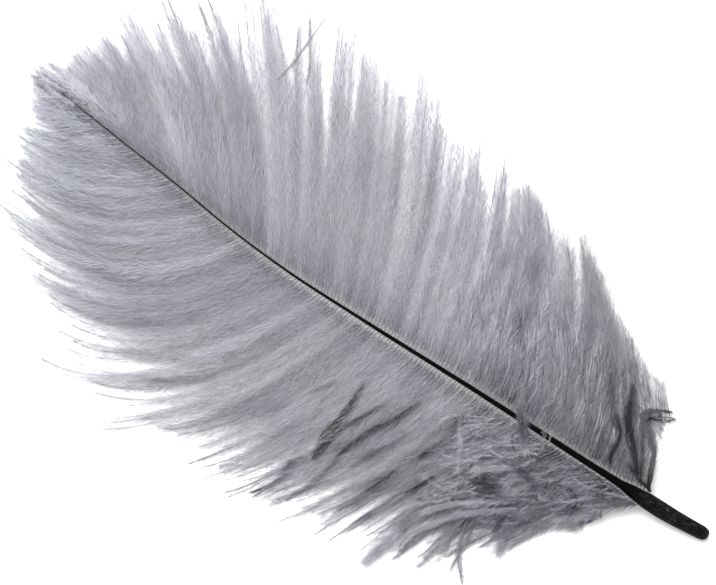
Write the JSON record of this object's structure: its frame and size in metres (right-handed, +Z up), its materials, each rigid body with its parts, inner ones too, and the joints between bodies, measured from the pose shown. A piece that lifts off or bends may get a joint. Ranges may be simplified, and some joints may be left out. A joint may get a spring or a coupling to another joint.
{
  "type": "ostrich feather",
  "caption": "Dyed grey ostrich plume with a dark horny shaft, loose drooping barbs and tangled down at the quill, lying flat.",
  "frame": {"origin": "on the surface the feather lies on, under the middle of its box", "axes": "+X from the quill's end to the feather's tip, +Y to the feather's wider side, which is its left seen from above with the tip ahead, +Z up from the surface, on the feather's outer side"},
  "size_m": [0.2004, 0.1057, 0.0125],
  "materials": {
    "horn": "black-dyed keratin, glossy along the vane and satin with small scuffs on the bare quill",
    "barbs": "matte grey-dyed barbs and barbules, soft and slightly violet",
    "down": "matte darker grey down, tangled, with charcoal strands at the quill"
  },
  "bodies": {
    "root": {"shaft": "horn", "left_vane": "barbs", "right_vane": "barbs", "left_down": "down", "right_down": "down"}
  },
  "joints": []
}
